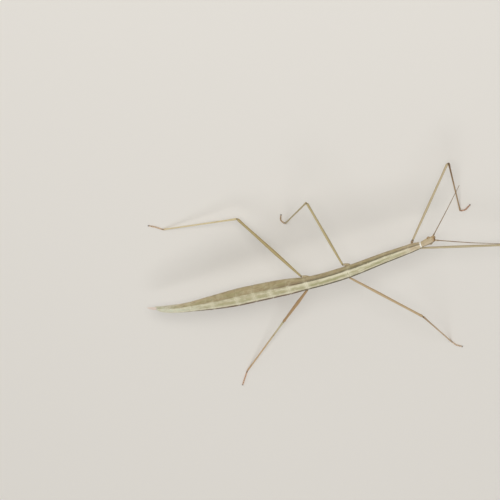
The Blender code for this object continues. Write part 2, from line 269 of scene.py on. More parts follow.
class Finish:
    def __init__(self, name, roughness, coat=0.0, coatRoughness=0.3):
        self.material = bpy.data.materials.new(name)
        self.material.use_nodes = True
        self.tree = self.material.node_tree
        self.shader = self.tree.nodes["Principled BSDF"]
        self.set("Roughness", roughness)
        self.set("IOR", 1.5)
        if coat:
            self.set("Coat Weight", coat)
            self.set("Coat Roughness", coatRoughness)
        self.place = self.node("TexCoord", {}, output="Object")

    def node(self, kind, settings, *values, output=0, at=None, **named):
        # any node: its settings first, then the values or links of its sockets
        made = self.tree.nodes.new("ShaderNode" + kind)
        for key, value in settings.items():
            setattr(made, key, value)
        for key, value in list(zip(at or range(len(values)), values)) + list(named.items()):
            self.feed(made.inputs[key], value)
        return Value(self, made.outputs[output])

    def feed(self, socket, value):
        if isinstance(value, Value):
            self.tree.links.new(value.output, socket)
        elif value is not None:
            socket.default_value = value

    def set(self, name, value):
        self.feed(self.shader.inputs[name], value)

    def mark(self, name):
        return self.node("Attribute", {"attribute_name": name}, output="Fac")

    def between(self, value, low, high):
        # 0 below low and 1 above high, rising smoothly
        return self.node("MapRange", {"interpolation_type": 'SMOOTHSTEP'}, value, low, high, 0.0, 1.0)

    def band(self, value, centre, halfWidth):
        # 1 at the centre, falling to 0 at either side
        return 1.0 - self.between(abs(value - centre), halfWidth * 0.35, halfWidth)

    def mottle(self, size, detail=3.0, stretch=None):
        # noise between 0 and 1 whose lumps are about size mm across
        place = self.place
        if stretch:
            place = self.node("Mapping", {}, place, Scale=stretch)
        return self.node("TexNoise", {}, Vector=place, Scale=1.0 / (size * mm), Detail=detail,
                         Roughness=0.55, output="Fac")

    def grain(self, size):
        # 0 at the middle of each granule of the cuticle and about 1 between them
        return self.node("TexVoronoi", {"feature": 'F1'}, Vector=self.place,
                         Scale=1.0 / (size * mm), output="Distance")

    def mix(self, first, second, mask):
        # a colour between two colours
        return self.node("Mix", {"data_type": 'RGBA'}, mask, first, second, at=(0, 6, 7), output=2)

    def layers(self, skin, coats):
        # colours laid over a skin one after another, each by its mask
        for colour, mask in coats:
            skin = self.mix(skin, colour, mask)
        return skin

    def bump(self, height, distance, strength):
        self.set("Normal", self.node("Bump", {}, Height=height, Distance=distance * mm,
                                     Strength=strength))


def tint(red, green, blue):
    # a colour given as on a screen, 0 to 255, made linear for the shader
    parts = []
    for part in (red, green, blue):
        c = part / 255
        parts.append(c / 12.92 if c <= 0.04045 else ((c + 0.055) / 1.055) ** 2.4)
    return (*parts, 1.0)


def tints(**named):
    return {name: tint(*parts) for name, parts in named.items()}


trunkColours = tints(
    backThorax=(197, 190, 156),
    backAbdomen=(192, 184, 150),
    backTail=(214, 217, 194),
    backHead=(196, 178, 146),
    green=(150, 148, 98),
    flankThorax=(170, 154, 118),
    flankAbdomen=(172, 156, 118),
    flankTail=(193, 177, 144),
    tailTip=(206, 206, 184),
    belly=(166, 154, 120),
    keelThorax=(70, 62, 34),
    keelAbdomen=(92, 62, 36),
    pale=(226, 220, 192),
    freckle=(112, 96, 58),
    umber=(122, 100, 62),
    membrane=(240, 238, 228),
)


def makeTrunkFinish():
    c = trunkColours
    f = Finish("trunkCuticle", 0.46, coat=0.10, coatRoughness=0.35)
    along = f.mark("along")
    around = f.mark("around")
    joint = f.mark("joint")
    pale = f.mark("spot")
    thorax = f.between(along, 4.0, 14.0)
    tailward = 1.0 - f.between(along, -50.0, -22.0)
    tailTip = 1.0 - f.between(along, -52.0, -39.0)
    keelward = f.between(along, -10.0, 8.0)
    leftMask = f.mark("left")
    headward = f.between(along, 46.0, 54.0)
    wide = f.mottle(2.4)
    fine = f.mottle(0.35, detail=4.0)
    streak = f.mottle(0.5, detail=4.0, stretch=(0.14, 1.0, 1.0))
    broadStreak = f.mottle(1.3, detail=2.0, stretch=(0.10, 1.0, 1.0))
    blotch = f.mottle(1.1, detail=3.0, stretch=(0.45, 1.0, 1.0))

    back = f.mix(f.mix(c["backAbdomen"], c["backThorax"], thorax), c["backTail"], tailward)
    back = f.mix(back, c["backHead"], headward)
    back = f.mix(back, c["green"], f.band(along, -8.0, 22.0) * 0.22)
    # painted light and shade: the strip beside the right keel is painted paler and the one beside the
    # left keel darker, as if the light fell more on the right of the back
    abdomen = 1.0 - thorax
    back = f.mix(back, c["pale"], f.band(around, 0.15, 0.12) * (1.0 - leftMask) * abdomen * 0.62)
    back = f.mix(back, c["freckle"], f.band(around, 0.20, 0.11) * leftMask * (abdomen - tailward) * 0.16)
    # the middle of the back is greener and the strips beside the keels are paler
    middle = (1.0 - f.between(around, 0.03, 0.11)) * (0.25 + thorax * 0.5) * (1.0 - tailward)
    back = f.layers(back, (
        (c["green"], middle * (1.0 - headward) * f.between(broadStreak, 0.34, 0.56)),
        (c["pale"], f.band(around, 0.16, 0.08) * f.between(broadStreak, 0.40, 0.58) * 0.55),
        (c["flankAbdomen"], f.between(streak, 0.50, 0.64) * 0.42),
        (c["green"], f.between(blotch, 0.54, 0.66) * (1.0 - tailward) * 0.38),
        (c["pale"], f.between(blotch, 0.46, 0.36) * 0.34),
    ))
    paleMark = pale * f.between(fine + wide, 0.72, 1.06) * (1.0 - headward * 0.4)
    back = f.mix(back, c["pale"], paleMark * (0.60 + thorax * 0.35))
    back = f.mix(back, c["freckle"], f.between(joint, 0.7, 1.0) * 0.30)

    flank = f.mix(f.mix(c["flankAbdomen"], c["flankThorax"], thorax), c["flankTail"], tailward)
    flank = f.layers(flank, (
        (c["tailTip"], tailTip * 0.88),
        (c["backHead"], headward * 0.7),
        (c["green"], f.band(around, 0.34, 0.12) * f.between(broadStreak, 0.4, 0.6) * 0.5),
        (c["belly"], f.between(around, 0.62, 0.86)),
        (c["freckle"], f.between(streak, 0.50, 0.66) * 0.42),
        (c["umber"], f.between(blotch, 0.52, 0.66) * (1.0 - tailward) * 0.30),
        (c["backAbdomen"], f.between(wide, 0.48, 0.66) * 0.42),
        (c["pale"], paleMark * 0.12),
        (c["freckle"], f.between(joint, 0.45, 1.0) * 0.25),
    ))

    # dark keel colour, used for the real keel line and also for the painted shade on the flank below it
    # and the painted shadow beside the right keel
    keel = f.mix(c["keelAbdomen"], c["keelThorax"], thorax)
    skin = f.mix(back, flank, f.between(around, 0.243, 0.262))
    # painted shadow: the keel line is kept fainter on the left, so that the darker right one reads as
    # the shaded side
    faint = leftMask * (1.0 - keelward * 0.6)
    shade = f.band(around, 0.30, 0.09) * (1.0 - tailward) * (0.10 + keelward * 0.24)
    skin = f.mix(skin, keel, shade * (1.0 - paleMark * 0.5))
    # the real dark line along each keel, plus a band of painted shadow just inside the right keel
    line = f.band(around, 0.246, 0.052) + (1.0 - leftMask) * f.band(around, 0.205, 0.06)
    line = line * f.between(fine + wide, 0.66, 0.98)
    line = line * (1.0 - tailward) * (1.0 - faint * 0.72) * (1.0 - paleMark * 0.6)
    skin = f.layers(skin, (
        (keel, f.between(line, 0.0, 1.0) * 0.88),
        (c["freckle"], f.between(fine, 0.60, 0.72) * 0.30),
        (c["membrane"], f.mark("membrane")),
    ))
    grain = f.grain(0.17)
    skin = f.mix(skin, c["freckle"], f.between(grain, 0.62, 0.88) * 0.22)
    f.set("Base Color", skin)
    f.set("Roughness", 0.38 + fine * 0.16 + f.between(grain, 0.4, 0.8) * 0.08)
    f.bump(fine * 0.5 + streak * 0.6 - grain * 0.35, 0.07, 0.7)
    return f.material


headColours = tints(
    top=(194, 176, 144),
    side=(190, 172, 136),
    under=(180, 160, 124),
    front=(172, 138, 94),
    stripe=(92, 72, 44),
    spot=(66, 44, 22),
    blotch=(148, 130, 92),
    membrane=(240, 238, 228),
)


def makeHeadFinish():
    c = headColours
    f = Finish("headCuticle", 0.42, coat=0.15, coatRoughness=0.3)
    along = f.mark("along")
    around = f.mark("around")
    wide = f.mottle(1.2)
    fine = f.mottle(0.22, detail=4.0)
    skin = f.mix(c["top"], c["side"], f.between(around, 0.24, 0.42))
    skin = f.layers(skin, (
        (c["under"], f.between(around, 0.66, 0.85)),
        (c["blotch"], f.between(wide, 0.5, 0.72) * 0.45),
        (c["blotch"], f.between(fine, 0.56, 0.68) * 0.35),
    ))
    front = f.between(along, body["neck"] + 4.3, body["neck"] + 5.5)
    skin = f.mix(skin, c["front"], front * (1.0 - f.between(around, 0.55, 0.75)) * 0.85)
    # a dark band low on each side of the head: faint on the left, where it is the head's own marking,
    # and strong on the right, where it is mostly painted shadow along the edge
    rightSide = 1.0 - f.mark("left")
    stripe = f.band(around, 0.225, 0.11) * (0.12 + rightSide * 0.76) * f.between(fine + wide, 0.5, 0.9)
    skin = f.mix(skin, c["stripe"], stripe)
    tip = f.between(along, body["neck"] + 5.35, body["neck"] + 5.7)
    skin = f.layers(skin, (
        (c["spot"], tip * (1.0 - f.between(around, 0.25, 0.42)) * 0.80),
        (c["spot"], f.mark("spot") * 0.45),
        (c["membrane"], f.mark("membrane")),
    ))
    grain = f.grain(0.13)
    skin = f.mix(skin, c["blotch"], f.between(grain, 0.58, 0.85) * 0.35)
    f.set("Base Color", skin)
    f.set("Roughness", 0.36 + fine * 0.16 + f.between(grain, 0.4, 0.8) * 0.08)
    f.bump(fine - grain * 0.5, 0.045, 0.65)
    return f.material


legColours = {
    # upper side, lower side and edge of the femur; tibia near the knee and further down; coxa; foot
    "fore_left": ((188, 172, 136), (194, 178, 144), (122, 98, 58), (116, 84, 44),
                  (168, 138, 98), (160, 136, 108), (190, 148, 118)),
    "fore_right": ((186, 172, 138), (196, 180, 146), (138, 118, 80), (122, 92, 52),
                   (160, 130, 92), (168, 148, 112), (190, 148, 118)),
    "mid_left": ((182, 166, 120), (194, 176, 132), (132, 110, 66), (182, 166, 122),
                 (172, 156, 112), (178, 162, 130), (184, 156, 118)),
    "mid_right": ((190, 166, 126), (204, 180, 146), (146, 112, 70), (176, 146, 106),
                  (204, 176, 140), (186, 166, 134), (216, 190, 160)),
    "hind_left": ((168, 152, 104), (184, 162, 112), (144, 114, 64), (208, 192, 148),
                  (214, 198, 156), (172, 156, 120), (212, 184, 152)),
    "hind_right": ((182, 146, 98), (196, 160, 112), (146, 104, 58), (192, 182, 144),
                   (198, 166, 122), (172, 152, 118), (208, 168, 136)),
}


legMarkColours = tints(tarsusSpot=(150, 100, 68), trochanter=(226, 214, 184), joint=(56, 38, 20))


def makeLegFinish(name):
    upper, lower, edge, tibiaTop, tibiaEnd, root, sole = (tint(*parts) for parts in legColours[name])
    c = legMarkColours
    f = Finish("legCuticle_" + name, 0.45, coat=0.10, coatRoughness=0.35)
    along = f.mark("along")   # 0 to 1 coxa, 1 to 2 femur, 2 to 3 tibia, 3 to 4 tarsus
    around = f.mark("around")
    joint = f.mark("joint")
    fine = f.mottle(0.25, detail=4.0)
    blotch = f.mottle(1.6, detail=2.0)
    femur = f.mix(upper, lower, f.between(around, 0.35, 0.65))
    femur = f.mix(femur, edge, (f.band(around, 0.25, 0.10) + f.band(around, 0.75, 0.10)) * 0.6)
    femur = f.mix(femur, lower, f.between(blotch, 0.5, 0.7) * 0.35)
    tibia = f.mix(tibiaTop, tibiaEnd, f.between(along, 2.05, 2.6))
    tibia = f.mix(tibia, edge, f.between(blotch, 0.52, 0.7) * 0.35)
    coxa = f.mix(root, edge, f.between(fine, 0.48, 0.66) * 0.5)
    tarsus = f.mix(sole, c["tarsusSpot"], f.between(fine, 0.46, 0.66) * 0.45)
    skin = f.mix(coxa, femur, f.between(along, 0.98, 1.02))
    skin = f.mix(skin, tibia, f.between(along, 1.985, 2.01))
    skin = f.mix(skin, tarsus, f.between(along, 2.96, 3.0))
    trochanter = f.band(along, 0.90, 0.10) * f.between(fine, 0.3, 0.5)
    skin = f.layers(skin, (
        (c["trochanter"], trochanter * 0.8),
        (c["joint"], joint * 0.75),
        (edge, f.between(fine, 0.56, 0.70) * 0.35),
    ))
    grain = f.grain(0.15)
    skin = f.mix(skin, edge, f.between(grain, 0.60, 0.88) * 0.30)
    f.set("Base Color", skin)
    f.set("Roughness", 0.38 + fine * 0.18)
    f.bump(fine - grain * 0.45, 0.045, 0.65)
    return f.material


eyeColours = tints(pale=(186, 160, 118), bar=(134, 104, 68), facetEdge=(92, 68, 42))


def makeEyeFinish():
    c = eyeColours
    f = Finish("eyeGloss", 0.16, coat=0.7, coatRoughness=0.08)
    facets = f.grain(0.045)
    bars = f.mottle(0.26, detail=2.0, stretch=(0.4, 1.0, 1.7))
    eye = f.mix(c["pale"], c["bar"], f.between(bars, 0.40, 0.60))
    f.set("Base Color", f.mix(eye, c["facetEdge"], f.between(facets, 0.4, 0.8) * 0.4))
    f.bump(1.0 - facets, 0.012, 0.6)
    return f.material


antennaColours = tints(root=(186, 162, 124), whip=(156, 132, 102), ring=(112, 90, 66),
                       joint=(98, 76, 52), fleck=(112, 90, 62))


def makeAntennaFinish():
    c = antennaColours
    f = Finish("antennaCuticle", 0.55)
    along = f.mark("along")
    joint = f.mark("joint")
    fine = f.mottle(0.3)
    skin = f.mix(c["root"], c["whip"], f.between(along, 0.02, 0.16))
    ringed = f.node("TexWave", {"wave_type": 'BANDS', "bands_direction": 'X'},
                    Vector=f.node("CombineXYZ", {}, along, 0.0, 0.0), Scale=1.6, Distortion=0.0,
                    output="Fac")
    skin = f.mix(skin, c["ring"], f.between(ringed, 0.55, 0.85) * 0.5)
    skin = f.mix(skin, c["joint"], joint * 0.5)
    f.set("Base Color", f.mix(skin, c["fleck"], f.between(fine, 0.5, 0.7) * 0.35))
    f.bump(fine, 0.02, 0.4)
    return f.material


tailColours = tints(plateEnd=(206, 202, 178), plate=(190, 178, 144), cercus=(230, 210, 196),
                    fleck=(170, 138, 110))


def makeTailFinish():
    c = tailColours
    f = Finish("tailCuticle", 0.42, coat=0.12)
    along = f.mark("along")
    fine = f.mottle(0.3, detail=4.0)
    skin = f.mix(c["plateEnd"], c["plate"], f.between(along, -54.0, -46.0))
    skin = f.mix(c["cercus"], skin, f.between(along, -56.0, -55.0))
    skin = f.mix(skin, c["fleck"], f.between(fine, 0.55, 0.72) * 0.3)
    f.set("Base Color", skin)
    f.bump(fine, 0.03, 0.5)
    return f.material


mouthColours = tints(plate=(184, 160, 120), mottle=(140, 112, 74), joint=(70, 46, 24))


def makeMouthFinish():
    c = mouthColours
    f = Finish("mouthCuticle", 0.4, coat=0.15)
    fine = f.mottle(0.12, detail=4.0)
    skin = f.mix(c["plate"], c["mottle"], f.between(fine, 0.42, 0.68))
    f.set("Base Color", f.mix(skin, c["joint"], f.mark("joint") * 0.6))
    f.bump(fine, 0.02, 0.5)
    return f.material


clawColours = tints(horn=(58, 30, 12), dark=(26, 14, 8))


def makeClawFinish():
    c = clawColours
    f = Finish("clawHorn", 0.22, coat=0.5, coatRoughness=0.15)
    fine = f.mottle(0.12)
    f.set("Base Color", f.mix(c["horn"], c["dark"], f.between(fine, 0.4, 0.65)))
    f.bump(fine, 0.01, 0.3)
    return f.material


def spline(points, place):
    # a smooth point on the curve through a few points, place counted in points
    last = len(points) - 1
    i = min(int(place), last - 1)
    t = place - i
    a, b = points[max(i - 1, 0)], points[i]
    c, d = points[i + 1], points[min(i + 2, last)]
    return tuple(0.5 * (2 * q + (r - p) * t + (2 * p - 5 * q + 4 * r - s) * t * t
                        + (3 * q - p - 3 * r + s) * t ** 3)
                 for p, q, r, s in zip(a, b, c, d))


keelCorner = 4   # corner of the section at which the keel stands, counted from the middle


def halfOutline(back):
    # unit section from the middle of the back, over the keel and flank, to the middle of the belly
    half = body["sides"] // 2
    flank = ((back, 0.87), (0.5 * (back + 1.04), 0.46), (1.0, -0.05), (0.90, -0.50),
             (0.63, -0.86), (0.30, -0.99), (0.0, -1.0))
    outline = []
    for i in range(keelCorner):
        t = i / keelCorner
        outline.append((back * t, 1.0 - 0.13 * t ** 2.4 + (0.018 if i == 0 else 0.0)))
    outline.append((back * 1.012, 0.885))
    steps = half - keelCorner
    for i in range(1, steps + 1):
        outline.append(spline(flank, (len(flank) - 1) * i / steps))
    return outline


def sectionCorners(outline):
    # all corners of a section in order round it, starting at the middle of the belly
    right = [(-y, z) for y, z in outline[1:-1]]
    return [outline[-1]] + right[::-1] + [outline[0]] + outline[1:-1]


halfSides = body["sides"] // 2
# for each corner, 0 at the middle of the back to 1 at the middle of the belly
aroundMarks = [abs(i - halfSides) / halfSides for i in range(body["sides"])]
leftMarks = [1.0 if i > halfSides else 0.0 for i in range(body["sides"])]
leftMarks[0] = leftMarks[halfSides] = 0.5
keelCorners = (halfSides - keelCorner, halfSides + keelCorner)


def swellRound(point, outward, centres, radius, height):
    # lift a point near a socket, to make its rim
    for centre in centres:
        gap = (point - centre).length
        point = point + outward * height * hump(gap, radius, 0.35 * radius)
    return point


def trunkPlaces():
    # rows along each ring: place, share of the full girth and how close to the joint
    rows = []
    front = body["neck"]
    for name, length, _ in body["rings"]:
        reach = min(0.7, 0.22 * length)
        for share, girthShare, joint in ((0.0, 1.0 - body["jointDip"], 1.0), (0.18, 0.955, 0.85),
                                         (0.5, 0.985, 0.4), (1.0, 1.0, 0.0)):
            rows.append((name, front - reach * share, girthShare, joint))
        inner = length - 2 * reach
        count = max(1, round(inner / body["rowGap"]))
        for i in range(1, count):
            rows.append((name, front - reach - inner * i / count, 1.0, 0.0))
        rear = ((1.0, 1.0, 0.0), (0.5, 1.004, 0.2), (0.2, 1.012, 0.5), (0.03, 1.0, 0.8))
        if name == body["rings"][-1][0]:
            rear = ((1.0, 1.0, 0.0), (0.6, 1.0, 0.0), (0.3, 1.0, 0.0), (0.1, 1.0, 0.0), (0.03, 1.0, 0.0))
        for share, girthShare, joint in rear:
            rows.append((name, front - length + reach * share, girthShare, joint))
        front -= length
    return rows


def backShare(x):
    stations = ((tailEnd, body["abdomenBack"]), (0.0, body["abdomenBack"]),
                (14.0, body["thoraxBack"]), (body["neck"], body["thoraxBack"]))
    return flowing(stations, x)


def addTrunkRow(tube, name, x, share, joint):
    # the last ring draws in to a rounded end
    share *= sqrt(max(1.0 - max(1.0 - (x - tailEnd) / body["endRound"], 0.0) ** 2, 0.10))
    halfWidth = flowing(trunkGirth, x) * share - body["inset"]
    tall = halfWidth * body["heightToWidth"]
    centre, forward, left, up = axisFrame(x)
    groove, furrow = body["crossGroove"], body["furrow"]
    points = []
    for i, (y, z) in enumerate(sectionCorners(halfOutline(backShare(x)))):
        if name == "prothorax":   # the cross groove of the prothorax
            z -= groove["depth"] * hump(body["neck"] - x, groove["place"], groove["width"]) * max(z, 0.0)
        outward = (left * y + up * z).normalized()
        point = centre + left * y * halfWidth + up * z * tall
        if aroundMarks[i] > 0.32:
            point = swellRound(point, outward, rimPlaces, *body["coxaRim"])
        # a shallow furrow along the flank, where the side plates meet the belly
        point -= outward * furrow["depth"] * hump(aroundMarks[i], furrow["place"], furrow["width"])
        points.append(point)
    near = min(abs(x - place) for place, _ in trunkGirth[1:-1])
    tube.add(points, {"along": x, "around": aroundMarks, "left": leftMarks, "joint": joint,
                      "spot": hump(near, 0.0, body["paleReach"])}, keelCorners)


def headSection(x, share):
    # centre of the head at x, and its half width to the left and half height upwards
    centre, _, left, up = axisFrame(x)
    halfWidth, halfHeight, drop = (flowing(head["shape"], share, column) for column in (1, 2, 3))
    return centre - up * drop, left * halfWidth, up * halfHeight


def addHeadRow(tube, share, sockets, eyes):
    points, spots = [], []
    x = body["neck"] + share * head["length"]
    centre, wide, tall = headSection(x, share)
    for i, (y, z) in enumerate(sectionCorners(halfOutline(body["thoraxBack"]))):
        angle = atan2(z, y)
        outward = wide * cos(angle) + tall * sin(angle)
        point = centre + outward * (1.0 - body["inset"])
        point = swellRound(point, outward.normalized(), eyes, *head["eyeRim"])
        point = swellRound(point, outward.normalized(), sockets, *head["socketRim"])
        # a fine groove down the middle of the crown, one across the back of the head, one from
        # eye to eye, and a low ridge along each cheek
        crown = hump(aroundMarks[i], 0.0, 0.045) * hump(share, 0.32, 0.22)
        nape = hump(share, 0.12, 0.03)
        brow = hump(share, 0.74, 0.025) * (1.0 if aroundMarks[i] < 0.3 else 0.0)
        cheek = hump(aroundMarks[i], 0.58, 0.05) * hump(share, 0.45, 0.28)
        relief = head["cheek"] * cheek - head["groove"] * (crown + nape + 0.75 * brow)
        point += outward.normalized() * relief
        points.append(point)
        spots.append(max(exp(-((point - s).length / 0.34) ** 4) for s in sockets))
    tube.add(points, {"along": x, "around": aroundMarks, "left": leftMarks, "spot": spots})


def addNeck(tube):
    # pale soft skin between the head and the prothorax
    corners = sectionCorners(halfOutline(body["thoraxBack"]))
    for offset, share, white in ((0.02, 0.86, 0.5), (-0.10, 0.82, 1.0), (-0.36, 0.83, 1.0),
                                 (-0.50, 0.92, 0.4)):
        x = body["neck"] + offset
        centre, _, left, up = axisFrame(x)
        points = []
        for y, z in corners:
            angle = atan2(z, y)
            points.append(centre + (left * cos(angle) + up * sin(angle) * 0.88)
                          * body["neckHalfWidth"] * share)
        tube.add(points, {"along": x, "around": aroundMarks, "left": leftMarks, "joint": 0.5,
                          "membrane": white})


antenna = {
    "scapeRadius": 0.34,
    "scapeLength": 1.7,
    "pedicelLength": 0.62,
    "radii": ((0.0, 0.205), (0.3, 0.18), (1.0, 0.11)),
    "sides": 10,
    "length": 26.0,
    "rise": 0.02,
    "sag": 0.3,
    "bend": 70.0,
    "yaw": {"left": 46.2, "right": -23.6},
    "joints": 44,
}


def antennaHeading(sideName):
    yaw = radians(antenna["yaw"][sideName])
    return Vector((cos(yaw), sin(yaw), antenna["rise"])).normalized()


def antennaExit(side, sideName):
    # the point at which an antenna comes out of the head
    point = headPoint(head["scapePlace"], side)
    heading = antennaHeading(sideName)
    for _ in range(60):
        share = min((point.x - body["neck"]) / head["length"], 1.0)
        centre, wide, tall = headSection(point.x, share)
        across = (point - centre).dot(wide) / wide.length_squared
        above = (point - centre).dot(tall) / tall.length_squared
        if across ** 2 + above ** 2 > 1.0 or share == 1.0:
            break
        point = point + heading * 0.03
    return point


def growTrunk(tube):
    tube.begin(body["sides"], 1)
    sockets = [antennaExit(1, "left"), antennaExit(-1, "right")]
    eyes = [headPoint(head["eyePlace"], side) for side in (1, -1)]
    for i in range(head["rows"] + 1):
        addHeadRow(tube, 1.0 - i / head["rows"] * 0.99, sockets, eyes)
    tube.finish = 0
    addNeck(tube)
    for name, x, share, joint in trunkPlaces():
        if name == "prothorax" and body["neck"] - x < 0.6:
            continue
        addTrunkRow(tube, name, x, share, joint)
    tube.cap()


class Path:
    # a route of straight runs joined by round bends, measured by the distance along it
    def __init__(self, corners, radii):
        self.pieces = []
        self.length = 0.0
        self.marks = [0.0]
        here = corners[0]
        for i in range(1, len(corners) - 1):
            inward = (corners[i] - corners[i - 1]).normalized()
            outward = (corners[i + 1] - corners[i]).normalized()
            turn = inward.angle(outward)
            reach = radii[i - 1] * sin(turn / 2) / cos(turn / 2)
            self.addRun(here, corners[i] - inward * reach)
            self.addBend(corners[i] - inward * reach, inward, outward, radii[i - 1], turn)
            here = corners[i] + outward * reach
        self.addRun(here, corners[-1])
        self.marks.append(self.length)

    def addRun(self, start, end):
        size = (end - start).length
        self.pieces.append(("run", self.length, size, start, (end - start).normalized()))
        self.length += size

    def addBend(self, start, inward, outward, radius, turn):
        turnAxis = inward.cross(outward).normalized()
        centre = start + turnAxis.cross(inward) * radius
        size = radius * turn
        self.pieces.append(("bend", self.length, size, start - centre,
                            (centre, turnAxis, inward)))
        self.marks.append(self.length + size / 2)
        self.length += size

    def at(self, distance):
        for kind, begin, size, a, b in self.pieces:
            if distance <= begin + size + 1e-9:
                break
        gone = distance - begin
        if kind == "run":
            return a + b * gone, b
        centre, turnAxis, inward = b
        turn = Matrix.Rotation(gone / a.length, 3, turnAxis)
        return centre + turn @ a, turn @ inward

    def places(self, gap, bendGap, extra=()):
        # distances for the rows: even along the runs, closer in the bends, and any extra ones
        found = {0.0, self.length}
        for kind, begin, size, _, _ in self.pieces:
            count = max(1, round(size / (gap if kind == "run" else bendGap)))
            found |= {begin + size * k / count for k in range(count + 1)}
        found |= set(extra)
        kept = []
        for place in sorted(found):
            if not kept or place - kept[-1] > 0.03:
                kept.append(place)
        return kept


def sweepAlong(tube, path, places, middle, cornerAt, marksAt, creased=()):
    # rows square to the path, turned as little as possible on the way from the middle
    start = path.at(middle)[1]
    up = Vector((0.0, 0.0, 1.0))
    normal = (up - start * up.dot(start)).normalized()
    frames = {}
    for order in (sorted((p for p in places if p >= middle)),
                  sorted((p for p in places if p < middle), reverse=True)):
        turned = normal
        for place in order:
            point, direction = path.at(place)
            turned = (turned - direction * turned.dot(direction)).normalized()
            frames[place] = (point, direction, turned)
    for place in places:
        point, direction, turned = frames[place]
        across = direction.cross(turned)
        points = []
        for i in range(tube.sides):
            angle = tau * i / tube.sides
            sideways, upward = cornerAt(place, angle)
            points.append(point + across * sideways + turned * upward)
        tube.add([keepOffFloor(p) for p in points], marksAt(place), creased)


def growRound(tube, path, places, radiusAt, marksAt, middle=None, flat=1.0):
    # a closed tube of round section, or oval where it is flat
    if middle is None:
        middle = places[len(places) // 2]
    sweepAlong(tube, path, places, middle,
               lambda place, angle: (radiusAt(place) * cos(angle), radiusAt(place) * flat * sin(angle)),
               marksAt)
    tube.cap()


def keepOffFloor(point):
    return Vector((point.x, point.y, max(point.z, 0.0)))


legs = {
    "fore_left": dict(root=(54.2, 1.1, 17.3), hip=(55.4, 2.8, 17.9), knee=(80.8, 30.4, 13.6),
                      ankle=(72.0, -2.4), pad=(74.2, -2.4), toe=(76.7, -0.8)),
    "fore_right": dict(root=(54.2, -1.1, 17.3), hip=(55.6, -2.3, 16.7), knee=(91.0, -16.6, 12.0),
                       ankle=(123.6, -25.2), pad=(125.9, -26.2), toe=(128.0, -27.9)),
    "mid_left": dict(root=(29.2, 1.7, 20.6), hip=(26.7, 3.1, 21.4), knee=(24.8, 35.6, 21.6),
                     ankle=(5.9, 14.3), pad=(4.9, 16.5), toe=(6.1, 18.8)),
    "mid_right": dict(root=(29.2, -1.7, 20.6), hip=(26.7, -3.4, 21.3), knee=(46.5, -31.0, 20.7),
                      ankle=(45.6, -60.0), pad=(46.7, -62.2), toe=(48.7, -63.7)),
    "hind_left": dict(root=(12.4, 1.6, 21.0), hip=(9.6, 3.1, 21.5), knee=(-8.2, 27.4, 7.3),
                      ankle=(-39.6, 27.3), pad=(-42.0, 29.4), toe=(-44.3, 30.9)),
    "hind_right": dict(root=(12.4, -1.6, 21.0), hip=(9.6, -3.5, 21.4), knee=(-10.3, -25.6, 5.8),
                       ankle=(-34.6, -47.2), pad=(-36.8, -50.1), toe=(-38.9, -53.0)),
}

# the middle of the low rim that the body raises round each coxa
rimPlaces = [Vector(leg["root"]).lerp(Vector(leg["hip"]), 0.45) for leg in legs.values()]

legShape = {
    "bends": (0.50, 0.62, 0.70, 1.4),     # hip, knee, ankle, pad
    "coxa": ((0.0, 0.14), (0.04, 0.28), (0.11, 0.40), (0.22, 0.49), (0.5, 0.56), (0.72, 0.52),
             (0.80, 0.44), (0.92, 0.50), (1.0, 0.41)),
    "femur": {
        "fore": ((0.0, 0.36), (0.02, 0.41), (0.10, 0.42), (0.40, 0.50), (0.85, 0.43),
                 (0.94, 0.47), (0.965, 0.53), (0.985, 0.52), (0.995, 0.40), (1.0, 0.31)),
        "mid": ((0.0, 0.36), (0.02, 0.41), (0.10, 0.44), (0.40, 0.56), (0.80, 0.46),
                (0.94, 0.49), (0.965, 0.55), (0.985, 0.54), (0.995, 0.40), (1.0, 0.31)),
        "hind": ((0.0, 0.38), (0.02, 0.43), (0.10, 0.50), (0.40, 0.70), (0.80, 0.52),
                 (0.94, 0.53), (0.965, 0.59), (0.985, 0.58), (0.995, 0.42), (1.0, 0.32)),
    },
    "tibia": ((0.0, 0.30), (0.006, 0.37), (0.018, 0.44), (0.05, 0.43), (0.12, 0.34), (0.60, 0.28),
              (0.92, 0.27), (0.97, 0.33), (0.99, 0.31), (1.0, 0.22)),
    "tarsusRadius": 0.285,
    "tarsusAxis": 0.21,
    "tarsomeres": (0.34, 0.52, 0.67, 0.79),
    "foot": dict(waist=0.80, lip=1.06, plain=0.94, tip=0.72),   # thickness, as shares
    "sides": 12,
    "rowGap": 1.2,
}


def legPath(leg):
    corners = [Vector(leg["root"]), Vector(leg["hip"]), Vector(leg["knee"])]
    corners += [Vector((*leg[spot], legShape["tarsusAxis"])) for spot in ("ankle", "pad", "toe")]
    return Path(corners, legShape["bends"])


